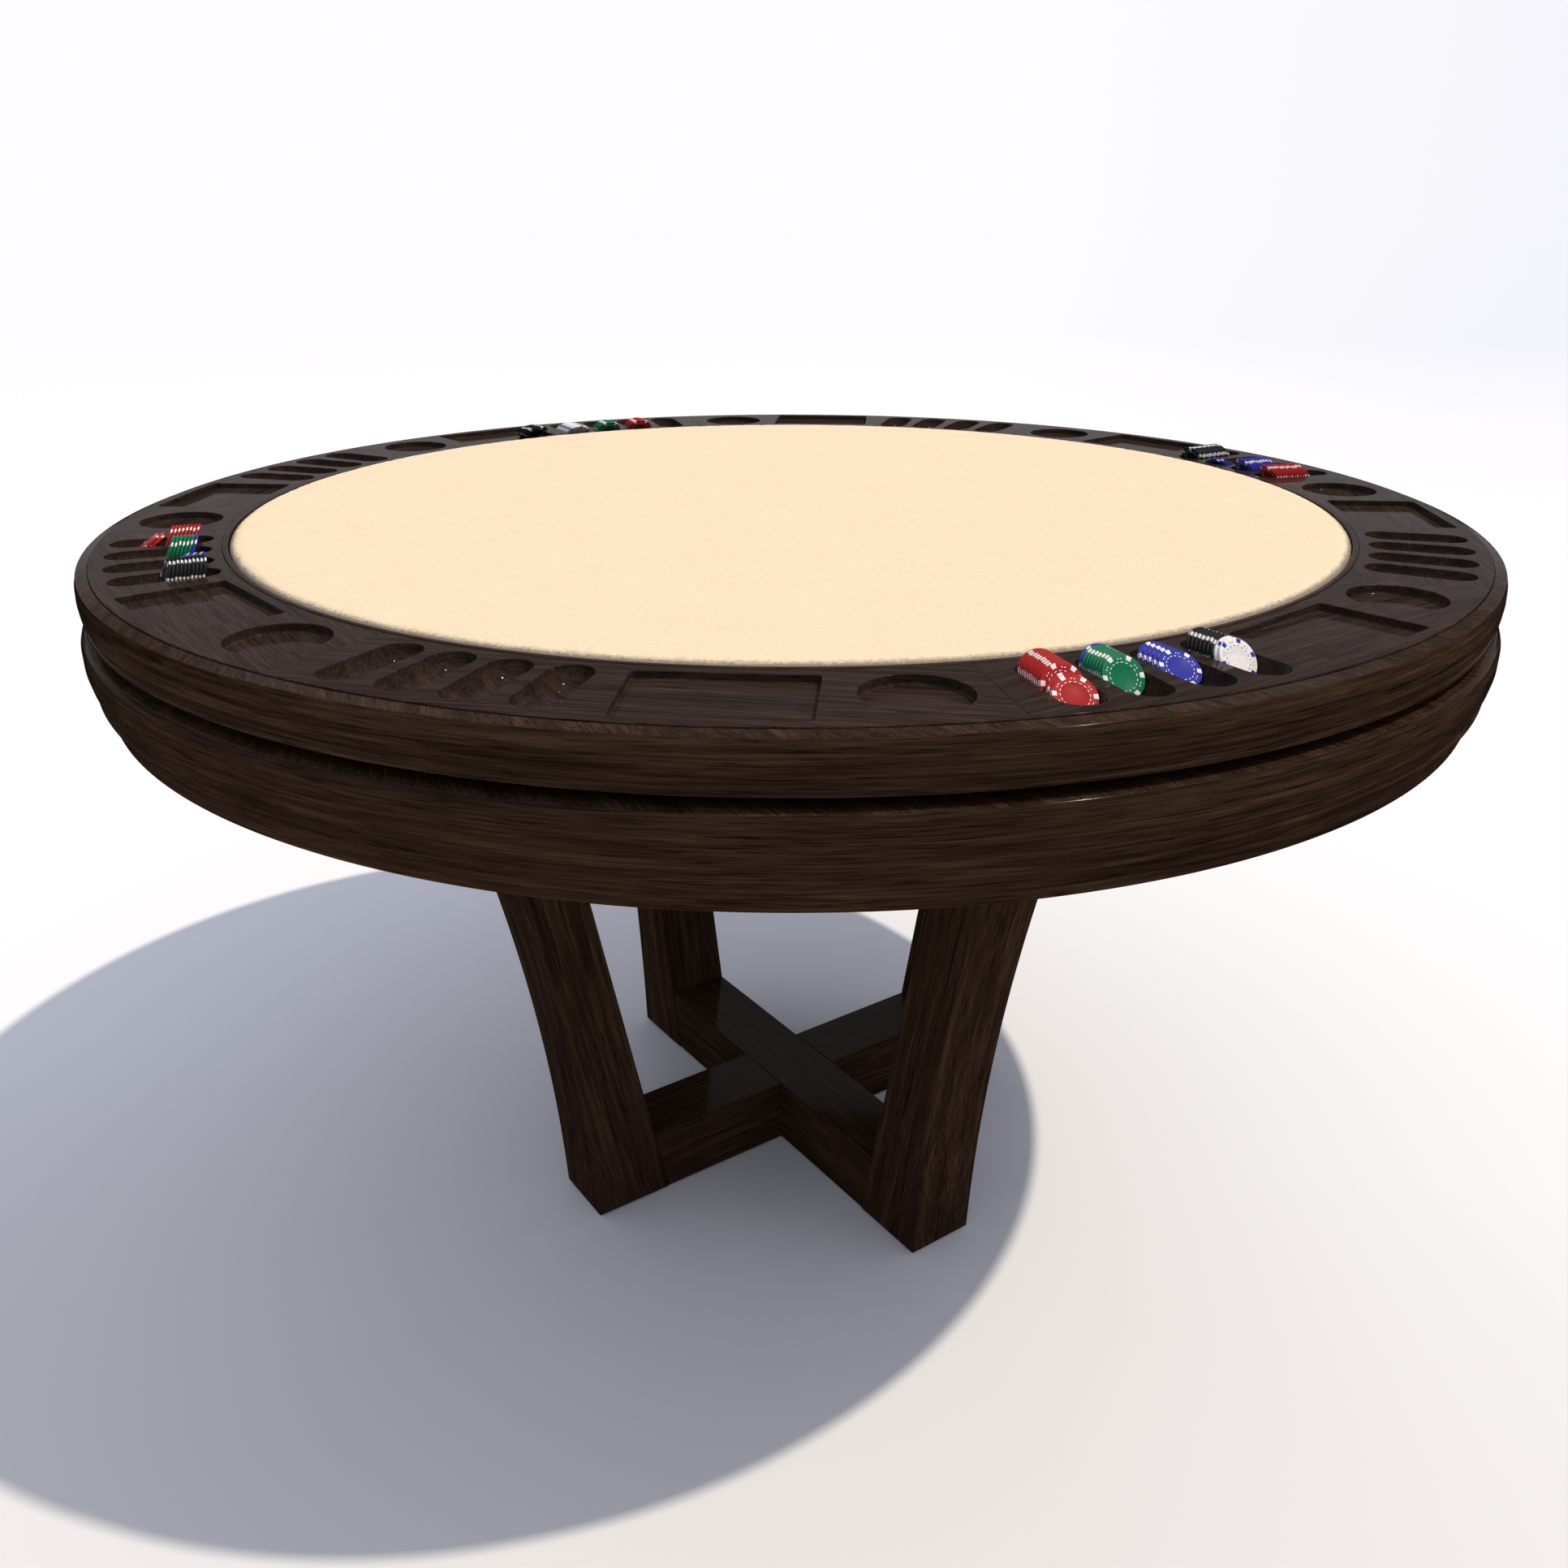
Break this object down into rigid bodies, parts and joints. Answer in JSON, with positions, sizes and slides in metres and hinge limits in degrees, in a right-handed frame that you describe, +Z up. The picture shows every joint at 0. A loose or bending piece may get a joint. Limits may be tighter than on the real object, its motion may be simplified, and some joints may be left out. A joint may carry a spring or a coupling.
{
  "type": "round poker table",
  "caption": "Round poker table: padded felt panel, wooden rail with cups, trays and chip troughs, and a lift-off top on a crossed sabre-leg base with low stretchers.",
  "frame": {"origin": "on the floor under the table's centre", "axes": "+Z up; the four legs stand on the diagonals between X and Y; the pictured side faces -Y"},
  "size_m": [1.6252, 1.6252, 0.9315],
  "materials": {
    "walnut": "gloss lacquer over espresso stain",
    "rail": "gloss lacquer over espresso stain",
    "plywood": "raw birch plywood",
    "hardwood": "raw beech",
    "felt": "brushed suede cloth over thin padding",
    "nylon": "matte",
    "steel": "zinc plated",
    "chip_red": "satin composite",
    "chip_green": "satin composite",
    "chip_blue": "satin composite",
    "chip_white": "satin composite",
    "chip_black": "satin composite"
  },
  "bodies": {
    "base": {"base_deck": "walnut", "apron_hoop": "walnut", "under_panel": "walnut", "bearer_1": "hardwood", "bearer_2": "hardwood", "leg_1": "walnut", "leg_2": "walnut", "leg_3": "walnut", "leg_4": "walnut", "glide_1": "nylon", "glide_2": "nylon", "glide_3": "nylon", "glide_4": "nylon", "leg_bolt_1a": "steel", "leg_bolt_1b": "steel", "leg_bolt_2a": "steel", "leg_bolt_2b": "steel", "leg_bolt_3a": "steel", "leg_bolt_3b": "steel", "leg_bolt_4a": "steel", "leg_bolt_4b": "steel", "stretcher_1": "walnut", "stretcher_2": "walnut"},
    "game_top": {"top_deck": "plywood", "spacer_ring": "walnut", "locating_pin_1": "hardwood", "locating_pin_2": "hardwood", "locating_pin_3": "hardwood", "locating_pin_4": "hardwood", "rail_segment_1": "rail", "rail_segment_2": "rail", "rail_segment_3": "rail", "rail_segment_4": "rail", "rail_segment_5": "rail", "rail_segment_6": "rail", "rail_segment_7": "rail", "rail_segment_8": "rail", "rail_liner": "walnut", "edge_moulding": "walnut"},
    "playing_panel": {"playing_pad": "felt", "panel_board": "plywood"},
    "chips_2": {"chips_2_red": "chip_red", "chips_2_tipped_red": "chip_red", "chips_2_green": "chip_green", "chips_2_blue": "chip_blue", "chips_2_black": "chip_black"},
    "chips_4": {"chips_4_red": "chip_red", "chips_4_blue": "chip_blue", "chips_4_spare_blue": "chip_blue", "chips_4_black": "chip_black"},
    "chips_6": {"chips_6_red": "chip_red", "chips_6_green": "chip_green", "chips_6_white": "chip_white", "chips_6_black": "chip_black"},
    "chips_8": {"chips_8_red": "chip_red", "chips_8_tipped_red": "chip_red", "chips_8_green": "chip_green", "chips_8_blue": "chip_blue", "chips_8_black": "chip_black"}
  },
  "joints": [
    {"name": "game_top_lift", "type": "slide", "parent": "base", "child": "game_top", "axis": [0, 0, 1], "range_m": [0, 0.3]},
    {"name": "playing_panel_lift", "type": "slide", "parent": "game_top", "child": "playing_panel", "axis": [0, 0, 1], "range_m": [0, 0.15]},
    {"name": "chips_2_lift", "type": "slide", "parent": "game_top", "child": "chips_2", "axis": [0, 0, 1], "range_m": [0, 0.06]},
    {"name": "chips_4_lift", "type": "slide", "parent": "game_top", "child": "chips_4", "axis": [0, 0, 1], "range_m": [0, 0.06]},
    {"name": "chips_6_lift", "type": "slide", "parent": "game_top", "child": "chips_6", "axis": [0, 0, 1], "range_m": [0, 0.06]},
    {"name": "chips_8_lift", "type": "slide", "parent": "game_top", "child": "chips_8", "axis": [0, 0, 1], "range_m": [0, 0.06]}
  ]
}
